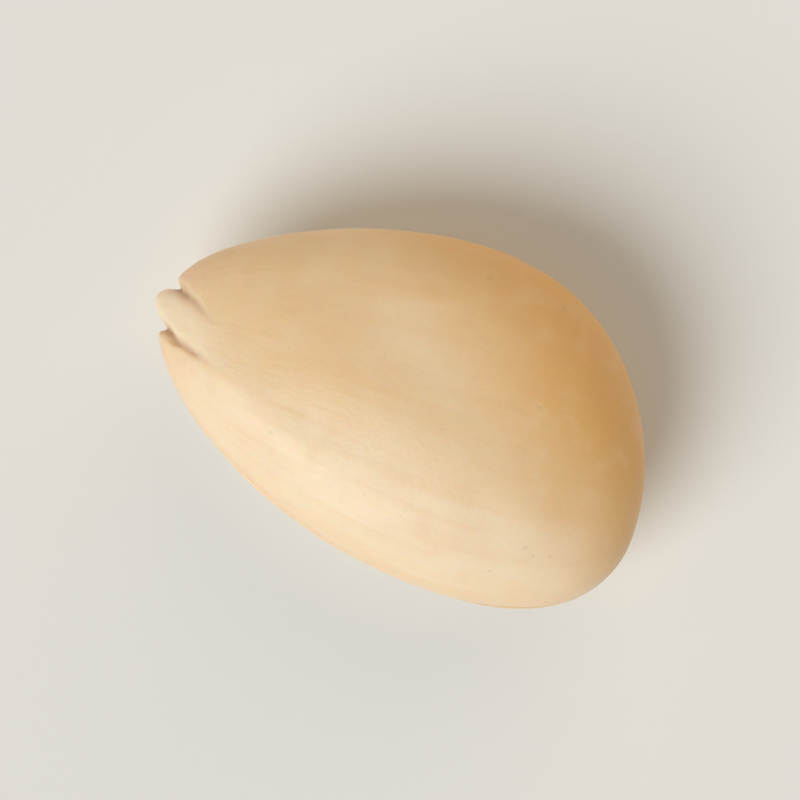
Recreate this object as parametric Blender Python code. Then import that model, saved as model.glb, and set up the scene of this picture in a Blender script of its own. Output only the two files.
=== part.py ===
"""An apricot kernel with its skin off, at its real size, lying on its flatter face.

It grew as one piece: two seed halves that meet along a fine seam round the rim, and the
cone of the young root, which stands out between their ears at the pointed end.
+X runs to the pointed end, +Z up through the thickness. The origin is at the level that
the kernel rests on, under the middle of its box.
"""

import math

import bmesh
import bpy
from mathutils import Vector

MM = 0.001

# Driving dimensions
LENGTH = 19.5 * MM
WIDTH = 12.76 * MM
THICKNESS = 7.3 * MM

# The outline seen from above: an egg whose midline swings to one side at the blunt end
EGG_TAPER = 0.22
EGG_FULLEST = 1.037
BLUNT_END_SWING = 1.85 * MM
POINT_SWING = -0.42 * MM

# The two halves, above and below the seam
UPPER_SHARE = 0.51
THICKNESS_TAPER = 0.14
FACE_FULLNESS = 0.16
REST_FLAT_DEPTH = 0.16 * MM

# The seam round the rim, where the halves meet. Each ripple is its share, how many times
# it comes in one turn round the rim, and where it starts.
SEAM_DEPTH = 0.2 * MM
SEAM_DEPTH_RIPPLES = ((0.3, 3, 0.6), (0.2, 7, 0))
SEAM_HALF_WIDTH = 0.12 * MM
SEAM_WANDER = 0.16 * MM
SEAM_WANDER_RIPPLES = ((1, 2, 1.1), (0.4, 5, 0))
HALVES_STEP = Vector((0.03, -0.06, 0)) * MM

# The pointed end: the young root, with a crevice on each side between it and the ears.
# Starts and ends are given along the kernel: -1 at the blunt end, 1 at the tip.
ROOT_RADIUS = 0.78 * MM
ROOT_OUT = 0.3 * MM
ROOT_DROP = 0.06 * MM
ROOT_DEPTH_RATIO = 0.6
ROOT_OFFSET = -0.17 * MM
ROOT_WHOLE_FROM = 0.9
ROOT_LEAN = 0.3
LEAN_ALONG = (0.35, 0.8)
LEAN_ACROSS = (0.1, 0.9)
CREVICE_DEPTH = 0.38 * MM
CREVICE_UNLIKENESS = 0.2
CREVICE_HALF_WIDTH = 0.22 * MM
CREVICE_START = 0.64

# Low swells of the two faces: each has its height and how it runs along and across
SWELLS = ((0.05 * MM, 0.35, 0.95), (0.04 * MM, 0.6, -0.45))
SWELL_SPACING = 4.6 * MM
UPPER_SWELL_STARTS = (0.7, -0.91)
LOWER_SWELL_STARTS = (2.9, -3.77)

# The mesh is finest along the seam and round the pointed end
LONGITUDES = 112
LATITUDES = 34
POINT_CROWDING = 0.6
SEAM_CROWDING = 1.6
SHARP_EDGE = math.radians(50)

CREAM = (0.855, 0.665, 0.402, 1.0)
WAXY_ROUGHNESS = 0.42

HALF_LENGTH = (LENGTH - ROOT_OUT) / 2
HALF_WIDTH = WIDTH / 2 / EGG_FULLEST


def smooth_step(low, high, value):
    """0 below low, 1 above high, with a smooth rise between."""
    t = min(1.0, max(0.0, (value - low) / (high - low)))
    return t * t * (3 - 2 * t)


def bell(value, half_width, flatness=2):
    """1 at zero, falling to nothing past the half width."""
    return math.exp(-abs(value / half_width) ** flatness)


def rippled(turn, ripples):
    """The sum of the ripples at one place round the rim."""
    return sum(share * math.sin(times * turn + start) for share, times, start in ripples)


def crowded_direction(point):
    """A point of the unit sphere, moved so that points crowd to the seam and the tip."""
    longitude = math.atan2(point.y, point.x)
    longitude -= POINT_CROWDING * math.sin(longitude)
    latitude = math.asin(max(-1.0, min(1.0, point.z)))
    quarter = math.pi / 2
    latitude = math.copysign(quarter * abs(latitude / quarter) ** SEAM_CROWDING, latitude)
    ring = math.cos(latitude)
    return Vector((ring * math.cos(longitude), ring * math.sin(longitude), math.sin(latitude)))


def egg_half_width(along):
    """Half the egg's width, before its ends round it off."""
    return HALF_WIDTH * (1 - EGG_TAPER * along)


def leaned(direction):
    """Leans the lines of points near the tip sideways, as the root leans on its way in."""
    along, across, up = direction
    lean = ROOT_LEAN * HALF_LENGTH / egg_half_width(1) * (1 - along)
    lean *= smooth_step(*LEAN_ALONG, along) * (1 - smooth_step(*LEAN_ACROSS, abs(across)))
    return Vector((along, across + lean, up)).normalized()


def midline(along):
    """How far the middle of the egg swings sideways."""
    to_blunt = (1 - along) / 2
    to_point = (1 + along) / 2
    return BLUNT_END_SWING * to_blunt**5 + POINT_SWING * to_point**2


def smooth_body(direction):
    """The plain egg of the kernel, with no seam, crevice or root."""
    along, across, up = direction
    half_thickness = THICKNESS * (UPPER_SHARE if up > 0 else 1 - UPPER_SHARE)
    fullness = 1 + FACE_FULLNESS * (1 - up * up)
    x = HALF_LENGTH * along
    y = midline(along) + egg_half_width(along) * across
    z = half_thickness * (1 - THICKNESS_TAPER * along) * up * fullness
    return Vector((x, y, z))


def swell(point, up):
    """Low, broad unevenness of a face, none of it at the rim."""
    starts = UPPER_SWELL_STARTS if up > 0 else LOWER_SWELL_STARTS
    wave = 2 * math.pi / SWELL_SPACING
    height = sum(
        high * math.sin(wave * (along * point.x + across * point.y) + start)
        for (high, along, across), start in zip(SWELLS, starts)
    )
    return height * up * abs(up)


def beside_root(line_direction):
    """How far a line of points runs from the root's axis, sideways."""
    return egg_half_width(line_direction.x) * line_direction.y - ROOT_OFFSET


def with_seam(point, direction, line_direction):
    """Draws the rim in along the seam, which wanders, steps and ends on both sides of the root."""
    along, across, up = direction
    turn = math.atan2(across, along)
    at_rim = (1 - up * up) ** 3
    at_root = smooth_step(CREVICE_START, ROOT_WHOLE_FROM, along)
    at_root *= bell(beside_root(line_direction), ROOT_RADIUS, 4)
    depth = SEAM_DEPTH * (1 + rippled(turn, SEAM_DEPTH_RIPPLES))
    depth *= bell(point.z, SEAM_HALF_WIDTH) * (1 - at_root)
    inward = Vector((-point.x, midline(along) - point.y, 0)).normalized()
    side = max(-1.0, min(1.0, point.z / SEAM_HALF_WIDTH))
    wander = SEAM_WANDER * rippled(turn, SEAM_WANDER_RIPPLES)
    return point + inward * depth + (HALVES_STEP * side + Vector((0, 0, wander))) * at_rim


def with_root_and_ears(point, line_direction):
    """Presses in a crevice on each side of the root, and draws the root out to a blunt cone."""
    along = line_direction.x
    if along < CREVICE_START:
        return point
    side = beside_root(line_direction)
    crevice = CREVICE_DEPTH * (1 + math.copysign(CREVICE_UNLIKENESS, side))
    crevice *= bell(abs(side) - ROOT_RADIUS, CREVICE_HALF_WIDTH)
    from_axis = math.hypot(side, ROOT_DEPTH_RATIO * point.z)
    off_axis = smooth_step(0, ROOT_RADIUS, from_axis)
    root = ROOT_DROP * off_axis * bell(side, ROOT_RADIUS, 6) - ROOT_OUT * (1 - off_axis)
    depth = (crevice + root) * smooth_step(CREVICE_START, 1, along)
    return point + depth * Vector((-1, ROOT_LEAN, 0))


def kernel_surface(sphere_point):
    """Where a point of the unit sphere lies on the kernel."""
    line_direction = crowded_direction(sphere_point)
    direction = leaned(line_direction)
    point = smooth_body(direction)
    point.z += swell(point, direction.z)
    point = with_seam(point, direction, line_direction)
    return with_root_and_ears(point, line_direction)


def cut_rest_flat(bm):
    """Takes the lowest sliver off the under face, so that the kernel lies on a small flat spot."""
    level = min(vert.co.z for vert in bm.verts) + REST_FLAT_DEPTH
    everything = bm.verts[:] + bm.edges[:] + bm.faces[:]
    cut = bmesh.ops.bisect_plane(
        bm, geom=everything, plane_co=(0, 0, level), plane_no=(0, 0, 1), clear_inner=True
    )
    rim = [item for item in cut["geom_cut"] if isinstance(item, bmesh.types.BMEdge)]
    bmesh.ops.contextual_create(bm, geom=rim)
    return level, {vert for edge in rim for vert in edge.verts}


def set_origin(bm, level, flat_verts):
    """Moves the kernel over the origin, with its flat spot exactly at height zero."""
    xs = [vert.co.x for vert in bm.verts]
    ys = [vert.co.y for vert in bm.verts]
    middle = Vector(((min(xs) + max(xs)) / 2, (min(ys) + max(ys)) / 2, level))
    bmesh.ops.translate(bm, verts=bm.verts, vec=-middle)
    for vert in flat_verts:
        vert.co.z = 0


def cream_material():
    """The matt, slightly waxy cream of a kernel without its skin."""
    material = bpy.data.materials.new("kernel cream")
    material.use_nodes = True
    shader = material.node_tree.nodes["Principled BSDF"]
    shader.inputs["Base Color"].default_value = CREAM
    shader.inputs["Roughness"].default_value = WAXY_ROUGHNESS
    shader.inputs["Metallic"].default_value = 0
    material.diffuse_color = CREAM
    return material


def make_kernel():
    """The whole kernel, as one closed solid."""
    bm = bmesh.new()
    bmesh.ops.create_uvsphere(bm, u_segments=LONGITUDES, v_segments=LATITUDES, radius=1)
    for vert in bm.verts:
        vert.co = kernel_surface(vert.co)
    level, flat_verts = cut_rest_flat(bm)
    set_origin(bm, level, flat_verts)
    bmesh.ops.recalc_face_normals(bm, faces=bm.faces)
    mesh = bpy.data.meshes.new("kernel")
    bm.to_mesh(mesh)
    bm.free()
    mesh.shade_smooth()
    mesh.set_sharp_from_angle(angle=SHARP_EDGE)
    mesh.materials.append(cream_material())
    kernel = bpy.data.objects.new("kernel", mesh)
    bpy.context.scene.collection.objects.link(kernel)
    return kernel


def main():
    for old in list(bpy.data.objects):
        bpy.data.objects.remove(old, do_unlink=True)
    make_kernel()


main()
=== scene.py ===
"""The looks of a skinless apricot kernel, over the solid that the frame gives.

The kernel is one fine mesh. It keeps the solid's form and adds what its few faces can't hold:
a hairline seam in a soft furrow round the rim, two narrow crevices beside the young root, a
soft ridge on the upper face, low streaks that run from the blunt end to the pointed one, small
dents, and a waxy finish that lets light in, with its mottling, fibres and freckles.
+X runs to the pointed end and +Z up through the thickness, in metres, as in the frame.
"""

import math
import random

import bmesh
import bpy
from bpy.props import FloatProperty, FloatVectorProperty, IntProperty, PointerProperty
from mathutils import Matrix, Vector, noise
from mathutils.kdtree import KDTree


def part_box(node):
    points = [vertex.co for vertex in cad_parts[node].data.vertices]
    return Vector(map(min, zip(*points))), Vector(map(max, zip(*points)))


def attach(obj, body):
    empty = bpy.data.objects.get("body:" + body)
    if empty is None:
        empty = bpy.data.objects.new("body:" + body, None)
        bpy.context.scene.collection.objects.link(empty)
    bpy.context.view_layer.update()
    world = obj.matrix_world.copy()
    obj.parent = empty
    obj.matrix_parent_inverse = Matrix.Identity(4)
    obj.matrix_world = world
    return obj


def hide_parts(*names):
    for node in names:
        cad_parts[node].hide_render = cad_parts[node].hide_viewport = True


bl_info = {
    "name": "Apricot kernel",
    "version": (1, 0, 0),
    "blender": (4, 5, 0),
    "location": "3D View > Sidebar > Kernel",
    "description": "Makes a skinless apricot kernel and the plain stage it lies on",
    "category": "Add Mesh",
}

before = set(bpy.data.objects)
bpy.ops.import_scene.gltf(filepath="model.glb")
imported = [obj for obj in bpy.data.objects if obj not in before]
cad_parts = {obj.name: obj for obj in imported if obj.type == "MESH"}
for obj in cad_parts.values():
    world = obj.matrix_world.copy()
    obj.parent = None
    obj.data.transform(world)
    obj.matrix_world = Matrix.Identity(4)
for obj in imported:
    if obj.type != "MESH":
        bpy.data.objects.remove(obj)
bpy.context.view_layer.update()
CAD_LOW, CAD_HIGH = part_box("kernel")
LENGTH, WIDTH, THICKNESS = CAD_HIGH - CAD_LOW

MM = 0.001

# The outline seen from above: an egg whose midline swings to one side at the blunt end. A
# swing's bend is the power by which it grows, so a higher one keeps it nearer to its end.
EGG_TAPER = 0.22
EGG_FULLEST = 1.037
BLUNT_END_SWING = 0.095 * LENGTH
BLUNT_END_BEND = 5
POINT_SWING = -0.0215 * LENGTH
POINT_BEND = 2

# The two halves, above and below the seam
UPPER_SHARE = 0.51
THICKNESS_TAPER = 0.14
FACE_FULLNESS = 0.16
REST_FLAT_DEPTH = 0.16 * MM

# The seam round the rim. Each ripple is its share, how many times it comes in one turn
# round the rim, and where it starts. The power keeps wander and step close to the rim.
SEAM_WANDER_RIPPLES = ((1, 2, 1.1), (0.4, 5, 0))
WANDER_POWER = 3
HALVES_STEP_TOWARDS = Vector((0.5, -1, 0))
FURROW_HALF_WIDTH = 0.4 * MM

# How open the seam is, by chance: each change is its share and how quick it comes round the
# rim. Each is read on a ring in the noise, at this height for its quickness.
RING_HEIGHT = 3
SEAM_MEAN = 0.6
SEAM_CHANGES = ((1.0, 1.7), (0.7, 6.3), (0.35, 19))
SEAM_LEAST = 0.1
SEAM_MOST = 1.3
STEP_CHANGES = ((1.2, 1.3), (0.5, 4.1))

# The young root and its crevices. Starts and ends are given along the kernel: -1 at the
# blunt end, 1 at the tip. A flatness over 2 makes the root's mark or drop squarer across.
ROOT_DEPTH_RATIO = 0.6
ROOT_MARK_FLATNESS = 4
ROOT_DROP_FLATNESS = 6
ROOT_OFFSET = -0.17 * MM
ROOT_WHOLE_FROM = 0.9
ROOT_LEAN = 0.3
ROOT_WOBBLE_SIZE = 0.9 * MM
LEAN_ALONG = (0.35, 0.8)
LEAN_ACROSS = (0.1, 0.9)
CREVICE_UNLIKENESS = 0.2
CREVICE_START = 0.64
CREVICE_SEEN_FROM = 0.7
CREVICE_CHANGE = 0.7
CREVICE_CHANGE_SIZE = 0.7 * MM

# The ears and the root's end are a little rough: from where, and how large the bumps are
TIP_ROUGH_FROM = 0.84
TIP_BUMP_SIZE = 0.42 * MM

# The soft ridge on the upper face, which runs back from the root's crevice. Its line starts near
# the tip, is so long and swings so far to the side; places are from the middle of the box.
RIDGE_START = (8.4 * MM, 0.17 * MM)
RIDGE_LENGTH = 7 * MM
RIDGE_SWING = 2.96 * MM
RIDGE_BEND = 0.65
RIDGE_HALF_WIDTH = 0.9 * MM

# It rises and fades over these shares of its length, and rises over this share of the face
RIDGE_RISE = (0, 0.2)
RIDGE_FADE = (0.45, 1)
RIDGE_OFF_RIM = (0, 0.5)

# Low swells of the two faces: each has its height and how it runs along and across
SWELLS = ((0.05 * MM, 0.35, 0.95), (0.04 * MM, 0.6, -0.45))
SWELL_SPACING = 4.6 * MM
UPPER_SWELL_STARTS = (0.7, -0.91)
LOWER_SWELL_STARTS = (2.9, -3.77)

# What the mesh tells the finish at each point, and how wide two of these marks are, as a share
# of the way from the seam to a face's middle
MARKS = ("seam", "rim", "crevice", "root", "tip", "streak")
SEAM_MARK = 0.024
RIM_MARK = 0.5

# The way to the side with painted warm bounce light and shade, at the blunt end and one flank; up to
# about 0.85 at the rim
PAINTED_BOUNCE_SIDE = Vector((-1.4 / LENGTH, -1.15 / WIDTH, 0))

# The way to the side painted paler as painted light, on the other flank, which faces the key light; up
# to about 0.8 at the rim
PAINTED_LIGHT_SIDE = Vector((0.3 / LENGTH, 1.6 / WIDTH, 0))

# The streaks: how strong, how many round the kernel, and how often they change from end to end
STREAKS = ((1.0, 7, 2), (0.3, 17, 3))
STREAK_SEED = 7
STREAKS_FADE = (0.4, 0.95)

# The fibres in the finish: how often they change round the kernel, and from end to end
FIBRES_ROUND = 9
FIBRES_ALONG = 1.3

# The dents, by chance: their radii, how far each reaches in radii, and shares of the full depth
DENT_SEED = 11
DENT_RADII = (0.3 * MM, 1.0 * MM)
DENT_REACH = 2
DENT_SHARES = (0.2, 1)

# Swells of the dried skinless flesh: how large, and their share of the height
UNDULATIONS = ((2.6 * MM, 1.0), (0.9 * MM, 0.22))

# The patterns of the finish: each has its size, its detail and its seed. The fibres are read
# where the lines of growth lead, which already holds their scale, so their size is 1.
PATCHES = (6 * MM, 2, 0)
FLUSH = (3.4 * MM, 2, 3)
CLOUDS = (1.2 * MM, 3, 5)
GRAIN = (0.2 * MM, 3, 8)
FRECKLES = (0.55 * MM, 3, 21)
FIBRES = (1, 4, 0)
PATTERN_MIDDLE = 0.5

# The tints: where on its pattern each begins and where it is full, and how strong it is then
HONEY_IN_PATCHES = (0.45, 0.7, 0.18)
# The blunt end's honey is partly its own yellowing and partly painted warm bounce light
HONEY_AT_BLUNT_END = (0.6, 1, 0.25)
# Painted light: the flank that faces the key light is painted paler
PAINTED_LIGHT_ON_SIDE = (0.05, 0.48, 0.75)
PALE_IN_PATCHES = (0.5, 0.72, 0.35)
BLUSH_IN_FLUSH = (0.5, 0.72, 0.22)
HONEY_IN_CLOUDS = (0.5, 0.8, 0.14)
PALE_IN_CLOUDS = (0.48, 0.75, 0.2)
HONEY_IN_STREAKS = (0.05, 0.7, 0.12)
HONEY_IN_FIBRES = (0.45, 0.75, 0.14)
HONEY_IN_GRAIN = (0.5, 0.8, 0.06)
# Painted light: a pale peach glow along the rim
PAINTED_GLOW_AT_RIM = (0.62, 0.98, 0.3)
BLUSH_AT_TIP = (0.9, 1, 0.5)

# Tints of one strength, and where the side with painted warm bounce light, the rim and the freckles
# begin and are full
PAINTED_BOUNCE_RISE = (0.14, 0.74)
PAINTED_BOUNCE_ON_SIDE = 0.78
PAINTED_BOUNCE_CHANGE = 0.14
NEAR_RIM = (0.1, 0.95)
# Painted warm bounce light and shade: honey all round the rim, and amber at the rim of the painted
# bounce side
PAINTED_WARMTH_AT_RIM = 0.3
PAINTED_BOUNCE_AT_RIM = 0.5
PALE_ON_ROOT = 0.8
BROWN_IN_SEAM = 0.3
# Painted shade: brown at the bottom of the crevices
PAINTED_SHADE_IN_CREVICES = 0.4
FRECKLES_SHOW = (0.69, 0.78)
FRECKLES_IN_FLUSH = (0.46, 0.56)
FRECKLE_STRENGTH = 0.28

# How much the patterns change the roughness, and how much of the grain's height each has
ROUGHER_IN_CLOUDS = 0.2
ROUGHER_IN_FLUSH = 0.2
ROUGHER_IN_GRAIN = 0.1
ROUGHER_IN_CREVICES = 0.2
GRAIN_RELIEF = 0.5
FIBRE_RELIEF = 0.7
CLOUD_RELIEF = 0.6
FRECKLE_RELIEF = 0.2

# The flesh lets light in a little way, and its wax has a soft gloss
FLESH = {
    "IOR": 1.47,
    "Subsurface Weight": 0.6,
    "Subsurface Radius": (1.0, 0.5, 0.2),
    "Subsurface Scale": 1.1 * MM,
    "Coat Weight": 0.22,
    "Coat Roughness": 0.42,
    "Sheen Weight": 0.1,
    "Sheen Roughness": 0.4,
}

# The mesh is finest along the seam and round the pointed end
LONGITUDES = 420
LATITUDES = 216
POINT_CROWDING = 0.6
SEAM_CROWDING = 1.3

# How the photograph shows it: seen from straight above, the pointed end to the left and a little up
PHOTO_TURN = math.radians(198.3)

# The lights: the key comes from the bottom left of the photograph, the fill from the top right
KEY_FROM = (0.44, 0.88, 0.85)
KEY_SPREAD = math.radians(40)
KEY_COLOUR = (1, 0.99, 0.97)
FILL_FROM = (-0.15, -0.9, 0.5)
FILL_SPREAD = math.radians(60)
FILL_COLOUR = (1, 0.755, 0.47)
ROOM_COLOUR = (1, 0.94, 0.85)
LIGHT_DISTANCE = 0.3

# The floor, and how near and far the camera sees: near as a share of its distance, far in metres
FLOOR_RADIUS = 2
FLOOR_SIDES = 96
FLOOR_ROUGHNESS = 0.85
SEEN_FROM = 0.01
SEEN_TO = 10


class KernelForm(bpy.types.PropertyGroup):
    """Sizes of the details on the kernel."""

    seam_depth: FloatProperty(
        name="Seam depth", description="How deep the seam round the rim is",
        default=0.17 * MM, min=0, unit="LENGTH", precision=5,
    )
    seam_half_width: FloatProperty(
        name="Seam half width", description="From the middle of the seam to its lip",
        default=0.06 * MM, min=0.02 * MM, unit="LENGTH", precision=5,
    )
    furrow_depth: FloatProperty(
        name="Furrow depth", description="Depth of the broad soft furrow that the seam lies in",
        default=0.035 * MM, min=0, unit="LENGTH", precision=5,
    )
    seam_wander: FloatProperty(
        name="Seam wander", description="How far the seam strays up and down round the rim",
        default=0.16 * MM, min=0, unit="LENGTH", precision=5,
    )
    halves_step: FloatProperty(
        name="Step between the halves", description="How far one half stands past the other",
        default=0.06 * MM, min=0, unit="LENGTH", precision=5,
    )
    root_radius: FloatProperty(
        name="Root radius", description="Half the width of the young root at the pointed end",
        default=0.78 * MM, min=0.2 * MM, unit="LENGTH", precision=5,
    )
    root_out: FloatProperty(
        name="Root out", description="How far the root's tip stands out past the ears",
        default=0.3 * MM, min=0, unit="LENGTH", precision=5,
    )
    root_drop: FloatProperty(
        name="Root drop", description="How far the root's sides lie in from the ears",
        default=0.06 * MM, min=0, unit="LENGTH", precision=5,
    )
    root_wobble: FloatProperty(
        name="Root wobble", description="How far the root's sides and crevices stray from straight",
        default=0.16 * MM, min=0, unit="LENGTH", precision=5,
    )
    tip_roughness: FloatProperty(
        name="Tip roughness", description="Height of the small bumps on the root's end and the ears",
        default=0.035 * MM, min=0, unit="LENGTH", precision=5,
    )
    crevice_depth: FloatProperty(
        name="Crevice depth", description="How far each crevice beside the root runs in",
        default=0.37 * MM, min=0, unit="LENGTH", precision=5,
    )
    crevice_half_width: FloatProperty(
        name="Crevice half width", description="From the middle of a crevice to its lip",
        default=0.21 * MM, min=0.02 * MM, unit="LENGTH", precision=5,
    )
    ridge_height: FloatProperty(
        name="Ridge height", description="Height of the soft ridge that runs back from the root",
        default=0.09 * MM, min=0, unit="LENGTH", precision=5,
    )
    streak_height: FloatProperty(
        name="Streak height", description="Height of the streaks that run from end to end",
        default=0.011 * MM, min=0, unit="LENGTH", precision=5,
    )
    undulation: FloatProperty(
        name="Undulation", description="Height of the uneven swells of a dried kernel",
        default=0.018 * MM, min=0, unit="LENGTH", precision=5,
    )
    dent_depth: FloatProperty(
        name="Dent depth", description="Depth of the deepest small dent",
        default=0.03 * MM, min=0, unit="LENGTH", precision=5,
    )
    dent_count: IntProperty(
        name="Dents", description="Number of small dents all over", default=70, min=0,
    )


class KernelLooks(bpy.types.PropertyGroup):
    """Colours and gloss of the flesh, and the colours of its painted light and shade."""

    cream: FloatVectorProperty(
        name="Cream", description="The flesh on most of both faces",
        default=(0.88, 0.69, 0.44), size=3, min=0, max=1, subtype="COLOR",
    )
    # Honey is also painted warm bounce light and shade: on one flank, round the rim, and in part at
    # the blunt end
    honey: FloatVectorProperty(
        name="Honey", description="Yellower patches, the blunt end and one flank",
        default=(0.80, 0.48, 0.16), size=3, min=0, max=1, subtype="COLOR",
    )
    # Amber is only painted warm bounce light, at the rim of the painted bounce side
    painted_bounce_amber: FloatVectorProperty(
        name="Amber", description="The deepest colour, on the rim of the honey-coloured side",
        default=(0.78, 0.41, 0.10), size=3, min=0, max=1, subtype="COLOR",
    )
    # Blush is also painted as a glow along the rim
    blush_and_painted_rim_glow: FloatVectorProperty(
        name="Blush", description="The thin flesh along the rim and on the ears",
        default=(0.90, 0.63, 0.43), size=3, min=0, max=1, subtype="COLOR",
    )
    # Pale is also the painted light on the flank that faces the key light
    pale: FloatVectorProperty(
        name="Pale", description="The young root, and the palest patches",
        default=(0.93, 0.80, 0.61), size=3, min=0, max=1, subtype="COLOR",
    )
    freckle: FloatVectorProperty(
        name="Freckles", description="Small uneven freckles, few and faint",
        default=(0.52, 0.27, 0.10), size=3, min=0, max=1, subtype="COLOR",
    )
    # Brown is also the painted shade at the bottom of the crevices
    brown: FloatVectorProperty(
        name="Brown", description="The bottom of the crevices and of the seam",
        default=(0.34, 0.16, 0.06), size=3, min=0, max=1, subtype="COLOR",
    )
    roughness: FloatProperty(
        name="Roughness", description="Gloss of the waxy surface, before it varies",
        default=0.47, min=0, max=1, subtype="FACTOR",
    )
    grain_height: FloatProperty(
        name="Grain height", description="Height of the finest grain, finer than the mesh",
        default=0.03 * MM, min=0, unit="LENGTH", precision=5,
    )


class StageLooks(bpy.types.PropertyGroup):
    """The floor, the lights and the camera."""

    floor: FloatVectorProperty(
        name="Floor", description="Colour of the plain floor",
        default=(0.855, 0.885, 0.90), size=3, min=0, max=1, subtype="COLOR",
    )
    key_strength: FloatProperty(
        name="Key strength", description="Light on a square metre from the large soft light",
        default=2.18, min=0,
    )
    fill_strength: FloatProperty(
        name="Fill strength", description="Light on a square metre from the warm light across from it",
        default=0.92, min=0,
    )
    room_light: FloatProperty(
        name="Room light", description="Strength of the even light from all sides",
        default=0.27, min=0,
    )
    backdrop: FloatVectorProperty(
        name="Backdrop", description="What is seen past the edge of the floor",
        default=(0.755, 0.72, 0.635), size=3, min=0, max=1, subtype="COLOR",
    )
    lens: FloatProperty(
        name="Lens", description="Focal length in millimetres", default=100, min=20,
    )
    kernel_share: FloatProperty(
        name="Kernel's share", description="How much of the picture's width the kernel's length takes",
        default=0.66, min=0.1, max=0.95, subtype="FACTOR",
    )


def smooth_step(low, high, value):
    """0 below low, 1 above high, with a smooth rise between."""
    t = min(1.0, max(0.0, (value - low) / (high - low)))
    return t * t * (3 - 2 * t)


def bell(value, half_width, flatness=2):
    """1 at zero, falling to nothing past the half width."""
    return math.exp(-abs(value / half_width) ** flatness)


def rippled(turn, ripples):
    """The sum of the ripples at one place round the rim."""
    return sum(share * math.sin(times * turn + start) for share, times, start in ripples)


def chance(turn, changes):
    """A smooth random value about zero that closes on itself round the rim."""
    ring = Vector((math.cos(turn), math.sin(turn), RING_HEIGHT))
    return sum(share * noise.noise(quick * ring) for share, quick in changes)


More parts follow.
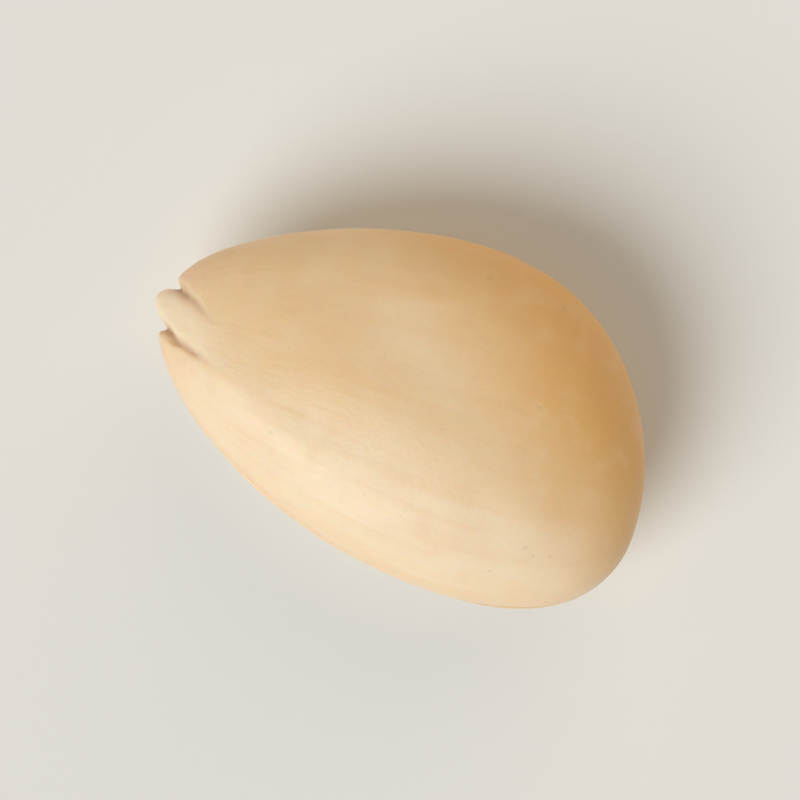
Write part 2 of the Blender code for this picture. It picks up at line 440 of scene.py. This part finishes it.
class KernelSurface:
    """The kernel's skin by formula: where each point of the unit sphere lies on it."""

    def __init__(self, form):
        self.form = form
        self.half_length = (LENGTH - form.root_out) / 2
        self.half_width = WIDTH / 2 / EGG_FULLEST

    def crowded(self, point):
        """A point of the unit sphere, moved so that points crowd to the seam and the tip."""
        longitude = math.atan2(point.y, point.x)
        longitude -= POINT_CROWDING * math.sin(longitude)
        latitude = math.asin(max(-1.0, min(1.0, point.z)))
        quarter = math.pi / 2
        latitude = math.copysign(quarter * abs(latitude / quarter) ** SEAM_CROWDING, latitude)
        ring = math.cos(latitude)
        return Vector((ring * math.cos(longitude), ring * math.sin(longitude), math.sin(latitude)))

    def leaned(self, direction):
        """Leans the lines of points near the tip sideways, as the root leans on its way in."""
        along, across, up = direction
        lean = ROOT_LEAN * self.half_length / self.egg_half_width(1) * (1 - along)
        lean *= smooth_step(*LEAN_ALONG, along) * (1 - smooth_step(*LEAN_ACROSS, abs(across)))
        return Vector((along, across + lean, up)).normalized()

    def egg_half_width(self, along):
        """Half the egg's width, before its ends round it off."""
        return self.half_width * (1 - EGG_TAPER * along)

    def midline(self, along):
        """How far the middle swings sideways; along is -1 at the blunt end, 1 at the tip."""
        to_blunt = (1 - along) / 2
        to_point = (1 + along) / 2
        at_blunt_end = BLUNT_END_SWING * to_blunt**BLUNT_END_BEND
        return at_blunt_end + POINT_SWING * to_point**POINT_BEND

    def smooth_body(self, direction):
        """The plain egg of the kernel, with no seam, crevice or root."""
        along, across, up = direction
        half_thickness = THICKNESS * (UPPER_SHARE if up > 0 else 1 - UPPER_SHARE)
        fullness = 1 + FACE_FULLNESS * (1 - up * up)
        x = self.half_length * along
        y = self.midline(along) + self.egg_half_width(along) * across
        z = half_thickness * (1 - THICKNESS_TAPER * along) * up * fullness
        return Vector((x, y, z))

    def swell(self, point, up):
        """Low, broad unevenness of a face, none of it at the rim."""
        starts = UPPER_SWELL_STARTS if up > 0 else LOWER_SWELL_STARTS
        wave = 2 * math.pi / SWELL_SPACING
        height = sum(
            high * math.sin(wave * (along * point.x + across * point.y) + start)
            for (high, along, across), start in zip(SWELLS, starts)
        )
        return height * up * abs(up)

    def beside_root(self, line_direction):
        """How far a line of points runs from the root's axis, sideways; it wobbles a little."""
        along, across, up = line_direction
        aside = self.egg_half_width(along) * across - ROOT_OFFSET
        spot = Vector((self.half_length * along, aside, THICKNESS / 2 * up))
        return aside + self.form.root_wobble * noise.noise(spot / ROOT_WOBBLE_SIZE)

    def on_root(self, line_direction):
        """1 on the young root, 0 on the rest of the kernel."""
        near_tip = smooth_step(CREVICE_START, ROOT_WHOLE_FROM, line_direction.x)
        aside = self.beside_root(line_direction)
        return near_tip * bell(aside, self.form.root_radius, ROOT_MARK_FLATNESS)

    def in_crevice(self, line_direction):
        """1 along the middle of each crevice at the tip, fading inwards and to its lips."""
        side = abs(self.beside_root(line_direction)) - self.form.root_radius
        into_tip = smooth_step(CREVICE_SEEN_FROM, 1, line_direction.x)
        return into_tip * bell(side, self.form.crevice_half_width)

    def seam_opening(self, direction):
        """How open the seam is at one place round the rim, from nearly closed up to about 1."""
        turn = math.atan2(direction.y, direction.x)
        return min(SEAM_MOST, max(SEAM_LEAST, SEAM_MEAN + chance(turn, SEAM_CHANGES)))

    def with_seam(self, point, direction, line_direction):
        """Draws the rim in along the seam, which wanders, steps and ends beside the root."""
        form = self.form
        along, across, up = direction
        turn = math.atan2(across, along)
        at_rim = (1 - up * up) ** WANDER_POWER
        depth = form.seam_depth * self.seam_opening(direction) * bell(point.z, form.seam_half_width)
        depth += form.furrow_depth * bell(point.z, FURROW_HALF_WIDTH)
        depth *= 1 - self.on_root(line_direction)
        inward = Vector((-point.x, self.midline(along) - point.y, 0)).normalized()
        side = max(-1.0, min(1.0, point.z / form.seam_half_width))
        step = HALVES_STEP_TOWARDS * form.halves_step * side * (1 + chance(turn, STEP_CHANGES))
        wander = Vector((0, 0, form.seam_wander * rippled(turn, SEAM_WANDER_RIPPLES)))
        return point + inward * depth + (step + wander) * at_rim

    def with_root_and_ears(self, point, line_direction):
        """Presses in a crevice on each side of the root, and draws the root out to a cone."""
        along = line_direction.x
        if along < CREVICE_START:
            return point
        side = self.beside_root(line_direction)
        crevice = self.form.crevice_depth * (1 + math.copysign(CREVICE_UNLIKENESS, side))
        crevice *= 1 + CREVICE_CHANGE * noise.noise(point / CREVICE_CHANGE_SIZE)
        crevice *= bell(abs(side) - self.form.root_radius, self.form.crevice_half_width)
        crevice *= smooth_step(CREVICE_SEEN_FROM, 1, along)
        from_axis = math.hypot(side, ROOT_DEPTH_RATIO * point.z)
        off_axis = smooth_step(0, self.form.root_radius, from_axis)
        on_root = bell(side, self.form.root_radius, ROOT_DROP_FLATNESS)
        root = self.form.root_drop * off_axis * on_root - self.form.root_out * (1 - off_axis)
        depth = crevice + root * smooth_step(CREVICE_START, 1, along)
        return point + depth * Vector((-1, ROOT_LEAN, 0))

    def ridge(self, point, up):
        """Height of the soft ridge on the upper face, back from the crevice to the middle."""
        start_x, start_y = RIDGE_START
        back = (start_x - point.x) / RIDGE_LENGTH
        if up <= 0 or not 0 < back < 1:
            return 0
        aside = point.y - start_y - RIDGE_SWING * back**RIDGE_BEND
        height = self.form.ridge_height * bell(aside, RIDGE_HALF_WIDTH)
        height *= smooth_step(*RIDGE_RISE, back) * (1 - smooth_step(*RIDGE_FADE, back))
        return height * smooth_step(*RIDGE_OFF_RIM, up)

    def place(self, line_direction):
        """Where a point of the crowded sphere lies on the kernel."""
        direction = self.leaned(line_direction)
        point = self.smooth_body(direction)
        point.z += self.swell(point, direction.z) + self.ridge(point, direction.z)
        point = self.with_seam(point, direction, line_direction)
        return self.with_root_and_ears(point, line_direction)


def streak(direction):
    """Low streaks that run from end to end and fade at both; about -1 to 1."""
    along, across, up = direction
    ring = Vector((0, across, up)).normalized()
    height = 0
    for share, round_rim, from_end_to_end in STREAKS:
        place = Vector((from_end_to_end * along, round_rim * ring.y, round_rim * ring.z))
        height += share * noise.noise(place + Vector((STREAK_SEED * round_rim, 0, 0)))
    return height * smooth_step(*STREAKS_FADE, math.hypot(across, up))


def mesh_of_kernel(form):
    """The whole kernel as one closed fine mesh, over the frame's solid."""
    surface = KernelSurface(form)
    bm = bmesh.new()
    bmesh.ops.create_uvsphere(bm, u_segments=LONGITUDES, v_segments=LATITUDES, radius=1)
    marks = {name: bm.verts.layers.float.new(name) for name in MARKS}
    for vert in bm.verts:
        line = surface.crowded(vert.co)
        vert.co = surface.place(line)
        on_root = surface.on_root(line)
        opening = surface.seam_opening(surface.leaned(line))
        vert[marks["seam"]] = opening * bell(line.z, SEAM_MARK) * (1 - on_root)
        vert[marks["rim"]] = bell(line.z, RIM_MARK)
        vert[marks["crevice"]] = surface.in_crevice(line)
        vert[marks["root"]] = on_root
        vert[marks["tip"]] = (1 + line.x) / 2
        vert[marks["streak"]] = streak(line)
    add_relief(bm, form, marks)
    press_dents(bm, form)
    flatten_rest_spot(bm)
    fit_to_frame(bm)
    bmesh.ops.recalc_face_normals(bm, faces=bm.faces)
    mesh = bpy.data.meshes.new("skinless_kernel")
    bm.to_mesh(mesh)
    bm.free()
    mesh.shade_smooth()
    return mesh


def add_relief(bm, form, marks):
    """Moves the skin in and out along its normals: swells, streaks, and bumps at the tip."""
    bm.normal_update()
    moves = []
    for vert in bm.verts:
        calm = 1 - vert[marks["crevice"]]
        height = form.undulation * sum(
            share * noise.noise(vert.co / size) for size, share in UNDULATIONS
        )
        height += form.streak_height * vert[marks["streak"]] * calm
        tip_bump = noise.noise(vert.co / TIP_BUMP_SIZE)
        height += form.tip_roughness * tip_bump * smooth_step(TIP_ROUGH_FROM, 1, vert[marks["tip"]])
        moves.append(vert.normal * height)
    for vert, move in zip(bm.verts, moves):
        vert.co += move


def press_dents(bm, form):
    """Presses small shallow dents into the skin at random places."""
    bm.verts.ensure_lookup_table()
    places = KDTree(len(bm.verts))
    for vert in bm.verts:
        places.insert(vert.co, vert.index)
    places.balance()
    draw = random.Random(DENT_SEED)
    for _ in range(form.dent_count):
        towards = Vector([draw.gauss(0, 1) for _ in range(3)]).normalized()
        spot, middle_index, _ = places.find(towards * LENGTH / 2)
        radius = draw.uniform(*DENT_RADII)
        depth = form.dent_depth * draw.uniform(*DENT_SHARES)
        inward = -bm.verts[middle_index].normal
        for _, index, away in places.find_range(spot, DENT_REACH * radius):
            bm.verts[index].co += inward * depth * bell(away, radius)


def flatten_rest_spot(bm):
    """Takes the lowest sliver off the under face, so that the kernel lies on a small flat spot."""
    level = min(vert.co.z for vert in bm.verts) + REST_FLAT_DEPTH
    everything = bm.verts[:] + bm.edges[:] + bm.faces[:]
    cut = bmesh.ops.bisect_plane(
        bm, geom=everything, plane_co=(0, 0, level), plane_no=(0, 0, 1), clear_inner=True
    )
    rim = [item for item in cut["geom_cut"] if isinstance(item, bmesh.types.BMEdge)]
    bmesh.ops.contextual_create(bm, geom=rim)


def fit_to_frame(bm):
    """Moves and stretches the mesh by a hair, so that it fills the solid's own box."""
    low = Vector([min(vert.co[axis] for vert in bm.verts) for axis in range(3)])
    high = Vector([max(vert.co[axis] for vert in bm.verts) for axis in range(3)])
    for vert in bm.verts:
        for axis in range(3):
            share = (vert.co[axis] - low[axis]) / (high[axis] - low[axis])
            vert.co[axis] = CAD_LOW[axis] + share * (CAD_HIGH[axis] - CAD_LOW[axis])


class Value:
    """An output of a shader node; arithmetic on it adds the Math nodes."""

    def __init__(self, finish, socket):
        self.finish = finish
        self.socket = socket

    def maths(self, operation, *values):
        """Adds a Math node for the operation."""
        inputs = dict(enumerate(values))
        return self.finish.node("ShaderNodeMath", {"operation": operation}, inputs)

    def __add__(self, other):
        return self.maths("ADD", self, other)

    def __radd__(self, other):
        return self.maths("ADD", other, self)

    def __sub__(self, other):
        return self.maths("SUBTRACT", self, other)

    def __rsub__(self, other):
        return self.maths("SUBTRACT", other, self)

    def __mul__(self, other):
        return self.maths("MULTIPLY", self, other)

    def __rmul__(self, other):
        return self.maths("MULTIPLY", other, self)

    def rise(self, low, high):
        """0 where the value is under low, 1 where it is over high, smooth between."""
        settings = {"interpolation_type": "SMOOTHSTEP"}
        inputs = {"Value": self, "From Min": low, "From Max": high}
        return self.finish.node("ShaderNodeMapRange", settings, inputs)

    def tint(self, low, high, strength):
        """Nothing where the value is under low, and that strength where it is over high."""
        return self.rise(low, high) * strength


class Finish:
    """The nodes of a material or of the room, whose shader is built up from values."""

    def __init__(self, owner, shader="Principled BSDF"):
        owner.use_nodes = True
        self.tree = owner.node_tree
        self.shader = self.tree.nodes[shader]

    def node(self, kind, settings=None, inputs=None, output=0):
        """Adds a node of a kind, sets it up, fills or links its sockets and gives one output."""
        made = self.tree.nodes.new(kind)
        for name, setting in (settings or {}).items():
            setattr(made, name, setting)
        for name, value in (inputs or {}).items():
            self.feed(made, name, value)
        sockets = [socket for socket in made.outputs if socket.enabled]
        chosen = sockets[output] if isinstance(output, int) else made.outputs[output]
        return Value(self, chosen)

    def feed(self, node, name, value):
        """Links a value to a socket, or sets the socket to a constant."""
        sockets = [socket for socket in node.inputs if socket.enabled]
        if isinstance(name, int):
            socket = sockets[name]
        else:
            socket = next(socket for socket in sockets if socket.name == name)
        if isinstance(value, Value):
            self.tree.links.new(value.socket, socket)
        elif socket.type == "RGBA":
            socket.default_value = (*value, 1)
        else:
            socket.default_value = value

    def noise(self, place, size, detail, seed):
        """Soft random patches of about that size in metres, from 0 to 1."""
        moved = self.vector("ADD", place, (seed,) * 3)
        inputs = {"Vector": moved, "Scale": 1 / size, "Detail": detail}
        return self.node("ShaderNodeTexNoise", {}, inputs)

    def vector(self, operation, *values, scale=None):
        """Vector maths on its values."""
        inputs = dict(enumerate(values))
        if scale is not None:
            inputs["Scale"] = scale
        return self.node("ShaderNodeVectorMath", {"operation": operation}, inputs)

    def blend(self, share, first, second):
        """The first colour where share is 0, the second where it is 1."""
        inputs = {"Factor": share, "A": first, "B": second}
        return self.node("ShaderNodeMix", {"data_type": "RGBA"}, inputs)

    def mark(self, name):
        """A mark that the mesh carries at each point."""
        return self.node("ShaderNodeAttribute", {"attribute_name": name}, output="Fac")


def lines_of_growth(finish, place):
    """A place to read noise at that changes slowly lengthwise and quickly round the kernel."""
    middle = (CAD_LOW + CAD_HIGH) / 2
    centred = finish.vector("SUBTRACT", place, middle)
    across = finish.vector("MULTIPLY", centred, (0, 2 / WIDTH, 2 / THICKNESS))
    around = finish.vector("SCALE", finish.vector("NORMALIZE", across), scale=FIBRES_ROUND)
    along = finish.vector("MULTIPLY", centred, (2 * FIBRES_ALONG / LENGTH, 0, 0))
    return finish.vector("ADD", around, along)


def flesh_colour(finish, looks, place, patterns, freckles, marks):
    """The cream of the flesh, with each tint laid over the ones before it, some of them painted light
    and shade.
    """
    patches, flush, clouds, grain, fibres = patterns
    seam, rim, crevice, root, tip, streaks = (marks[name] for name in MARKS)
    # One flank gets painted warm bounce light and shade, the other flank painted light
    painted_bounce_side = finish.vector("DOT_PRODUCT", place, PAINTED_BOUNCE_SIDE).rise(*PAINTED_BOUNCE_RISE)
    painted_light_side = finish.vector("DOT_PRODUCT", place, PAINTED_LIGHT_SIDE)
    near_rim = rim.rise(*NEAR_RIM)
    # Honey in patches, and at the blunt end, partly its own yellowing and partly painted warm bounce
    # light
    honeyed = patches.tint(*HONEY_IN_PATCHES) + (1 - tip).tint(*HONEY_AT_BLUNT_END)
    tints = (
        (honeyed, looks.honey),
        # Painted light on the flank that faces the key light
        (painted_light_side.tint(*PAINTED_LIGHT_ON_SIDE), looks.pale),
        ((1 - patches).tint(*PALE_IN_PATCHES), looks.pale),
        (flush.tint(*BLUSH_IN_FLUSH), looks.blush_and_painted_rim_glow),
        # Painted warm bounce light and shade on one flank
        (painted_bounce_side * (PAINTED_BOUNCE_ON_SIDE + PAINTED_BOUNCE_CHANGE * patches), looks.honey),
        (clouds.tint(*HONEY_IN_CLOUDS), looks.honey),
        ((1 - clouds).tint(*PALE_IN_CLOUDS), looks.pale),
        (streaks.tint(*HONEY_IN_STREAKS), looks.honey),
        (fibres.tint(*HONEY_IN_FIBRES), looks.honey),
        (grain.tint(*HONEY_IN_GRAIN), looks.honey),
        # Painted warm bounce light and shade round the rim
        (near_rim * PAINTED_WARMTH_AT_RIM, looks.honey),
        (near_rim * painted_bounce_side * PAINTED_BOUNCE_AT_RIM, looks.painted_bounce_amber),
        # Painted glow along the rim
        (rim.tint(*PAINTED_GLOW_AT_RIM) * (1 - painted_bounce_side), looks.blush_and_painted_rim_glow),
        (tip.tint(*BLUSH_AT_TIP), looks.blush_and_painted_rim_glow),
        (root * PALE_ON_ROOT, looks.pale),
        (seam * BROWN_IN_SEAM, looks.brown),
        # Painted shade in the crevices
        (crevice * PAINTED_SHADE_IN_CREVICES, looks.brown),
        (freckles * FRECKLE_STRENGTH, looks.freckle),
    )
    colour = looks.cream
    for strength, tint in tints:
        colour = finish.blend(strength, colour, tint)
    return colour


def flesh_material(looks):
    """Waxy cream flesh, mottled and faintly streaked, with painted light and shade: a paler lit flank,
    warm bounce on the other, a glow along the rim and brown shade in the crevices.
    """
    material = bpy.data.materials.new("kernel_flesh")
    finish = Finish(material)
    place = finish.node("ShaderNodeTexCoord", output="Object")
    patches = finish.noise(place, *PATCHES)
    flush = finish.noise(place, *FLUSH)
    clouds = finish.noise(place, *CLOUDS)
    grain = finish.noise(place, *GRAIN)
    fibres = finish.noise(lines_of_growth(finish, place), *FIBRES)
    freckles = finish.noise(place, *FRECKLES).rise(*FRECKLES_SHOW)
    freckles = freckles * flush.rise(*FRECKLES_IN_FLUSH)
    patterns = (patches, flush, clouds, grain, fibres)
    marks = {name: finish.mark(name) for name in MARKS}

    roughness = looks.roughness + (clouds - PATTERN_MIDDLE) * ROUGHER_IN_CLOUDS
    roughness = roughness + (flush - PATTERN_MIDDLE) * ROUGHER_IN_FLUSH
    roughness = roughness + (grain - PATTERN_MIDDLE) * ROUGHER_IN_GRAIN
    roughness = roughness + marks["crevice"] * ROUGHER_IN_CREVICES
    height = grain * GRAIN_RELIEF + fibres * FIBRE_RELIEF + clouds * CLOUD_RELIEF
    height = height - freckles * FRECKLE_RELIEF
    bump = finish.node(
        "ShaderNodeBump", {}, {"Height": height, "Distance": looks.grain_height, "Strength": 1}
    )

    colour = flesh_colour(finish, looks, place, patterns, freckles, marks)
    finish.feed(finish.shader, "Base Color", colour)
    finish.feed(finish.shader, "Roughness", roughness)
    finish.feed(finish.shader, "Normal", bump)
    for name, value in FLESH.items():
        finish.feed(finish.shader, name, value)
    material.diffuse_color = (*looks.cream, 1)
    return material


class KERNEL_OT_make_kernel(bpy.types.Operator):
    """Makes the fine skinless kernel in the place of the frame's solid"""

    bl_idname = "apricot.make_kernel"
    bl_label = "Make the kernel"

    def execute(self, context):
        kernel = bpy.data.objects.new("skinless_kernel", mesh_of_kernel(context.scene.kernel_form))
        kernel.data.materials.append(flesh_material(context.scene.kernel_looks))
        context.collection.objects.link(kernel)
        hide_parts("kernel")
        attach(kernel, "root")
        return {"FINISHED"}


def make_floor(colour):
    """A wide plain round floor under the kernel."""
    bm = bmesh.new()
    bmesh.ops.create_circle(bm, cap_ends=True, segments=FLOOR_SIDES, radius=FLOOR_RADIUS)
    mesh = bpy.data.meshes.new("floor")
    bm.to_mesh(mesh)
    bm.free()
    material = bpy.data.materials.new("pale_floor")
    finish = Finish(material)
    finish.feed(finish.shader, "Base Color", colour)
    finish.feed(finish.shader, "Roughness", FLOOR_ROUGHNESS)
    mesh.materials.append(material)
    floor = bpy.data.objects.new("floor", mesh)
    bpy.context.scene.collection.objects.link(floor)


def make_light(name, towards, strength, spread, colour):
    """An even soft light from one direction, as from a wide far window."""
    data = bpy.data.lights.new(name, "SUN")
    data.energy = strength
    data.angle = spread
    data.color = colour
    light = bpy.data.objects.new(name, data)
    back = Vector(towards).normalized()
    light.location = back * LIGHT_DISTANCE
    light.rotation_mode = "QUATERNION"
    light.rotation_quaternion = back.to_track_quat("Z", "Y")
    bpy.context.scene.collection.objects.link(light)


def make_room(stage):
    """Weak even light from all sides, and a pale backdrop where the floor ends."""
    world = bpy.data.worlds.new("room")
    room = Finish(world, "Background")
    room.feed(room.shader, "Color", ROOM_COLOUR)
    room.feed(room.shader, "Strength", stage.room_light)
    light = Value(room, room.shader.outputs["Background"])
    backdrop = room.node("ShaderNodeBackground", {}, {"Color": stage.backdrop})
    straight_seen = room.node("ShaderNodeLightPath", output="Is Camera Ray")
    chosen = room.node("ShaderNodeMixShader", {}, {0: straight_seen, 1: light, 2: backdrop})
    room.feed(room.tree.nodes["World Output"], "Surface", chosen)
    bpy.context.scene.world = world


def make_camera(stage):
    """The camera straight above the kernel, turned as in the photograph."""
    data = bpy.data.cameras.new("camera")
    data.lens = stage.lens
    camera = bpy.data.objects.new("camera", data)
    middle = (CAD_LOW + CAD_HIGH) / 2
    view_width = LENGTH / stage.kernel_share
    distance = view_width * data.lens / data.sensor_width
    camera.location = middle + Vector((0, 0, distance))
    camera.rotation_euler = (0, 0, PHOTO_TURN)
    data.clip_start = SEEN_FROM * distance
    data.clip_end = SEEN_TO
    bpy.context.scene.collection.objects.link(camera)
    bpy.context.scene.camera = camera


class KERNEL_OT_make_stage(bpy.types.Operator):
    """Makes the pale floor, the soft lights and the camera"""

    bl_idname = "apricot.make_stage"
    bl_label = "Make the stage"

    def execute(self, context):
        stage = context.scene.stage_looks
        make_floor(stage.floor)
        make_light("key_light", KEY_FROM, stage.key_strength, KEY_SPREAD, KEY_COLOUR)
        make_light("fill_light", FILL_FROM, stage.fill_strength, FILL_SPREAD, FILL_COLOUR)
        make_room(stage)
        context.scene.view_settings.view_transform = "Standard"
        make_camera(stage)
        return {"FINISHED"}


class KERNEL_PT_panel(bpy.types.Panel):
    """The kernel's sizes and colours, and the buttons that make it"""

    bl_label = "Apricot kernel"
    bl_space_type = "VIEW_3D"
    bl_region_type = "UI"
    bl_category = "Kernel"

    def draw(self, context):
        layout = self.layout
        for group in (context.scene.kernel_form, context.scene.kernel_looks):
            for name in group.__annotations__:
                layout.prop(group, name)
        layout.operator(KERNEL_OT_make_kernel.bl_idname)
        for name in context.scene.stage_looks.__annotations__:
            layout.prop(context.scene.stage_looks, name)
        layout.operator(KERNEL_OT_make_stage.bl_idname)


CLASSES = (
    KernelForm, KernelLooks, StageLooks,
    KERNEL_OT_make_kernel, KERNEL_OT_make_stage, KERNEL_PT_panel,
)


def register():
    """Makes the kernel's classes and settings known to Blender."""
    for made in CLASSES:
        bpy.utils.register_class(made)
    bpy.types.Scene.kernel_form = PointerProperty(type=KernelForm)
    bpy.types.Scene.kernel_looks = PointerProperty(type=KernelLooks)
    bpy.types.Scene.stage_looks = PointerProperty(type=StageLooks)


def unregister():
    """Takes them out again."""
    del bpy.types.Scene.stage_looks
    del bpy.types.Scene.kernel_looks
    del bpy.types.Scene.kernel_form
    for made in reversed(CLASSES):
        bpy.utils.unregister_class(made)


def main():
    """Makes the kernel and its stage, and keeps their sizes."""
    register()
    bpy.ops.apricot.make_kernel()
    bpy.ops.apricot.make_stage()


if __name__ == "__main__":
    main()
